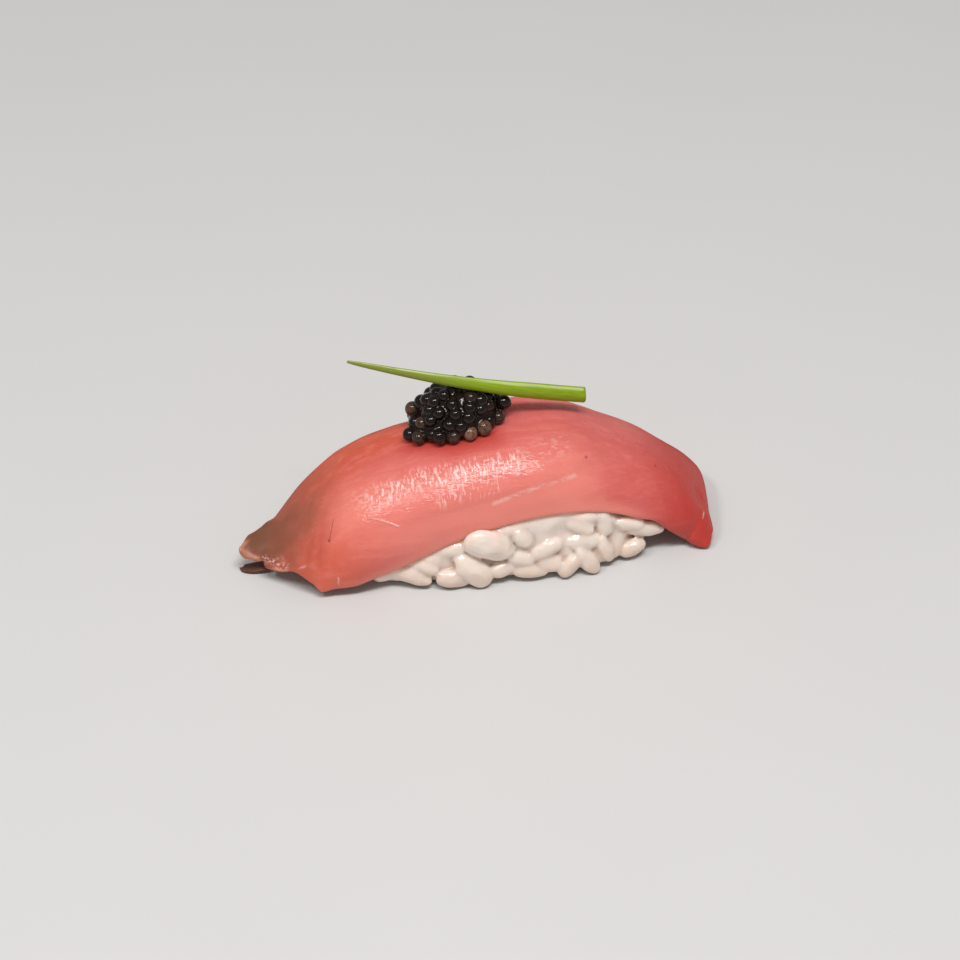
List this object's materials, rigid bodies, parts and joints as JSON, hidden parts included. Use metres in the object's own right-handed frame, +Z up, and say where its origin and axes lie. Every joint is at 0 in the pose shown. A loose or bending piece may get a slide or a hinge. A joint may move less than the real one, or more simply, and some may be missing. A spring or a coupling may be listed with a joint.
{
  "type": "nigiri",
  "caption": "Pressed ball of vinegared rice under a draped slice of raw red tuna, topped with a mound of black roe and a chive blade.",
  "frame": {"origin": "middle of the rice ball's flat base", "axes": "+Z up, +X along the slice from its low tip to its steep end, -Y the side where the rice shows below the slice"},
  "size_m": [0.0776, 0.0297, 0.0342],
  "materials": {
    "tuna": "moist raw fish, satin with a wet sheen",
    "rice": "cooked grains, slightly see-through and glossy",
    "roe": "wet and glossy",
    "chive": "fresh leaf, waxy satin"
  },
  "bodies": {
    "root": {"tuna_slice": "tuna", "rice": "rice", "roe": "roe", "chive": "chive"}
  },
  "joints": []
}
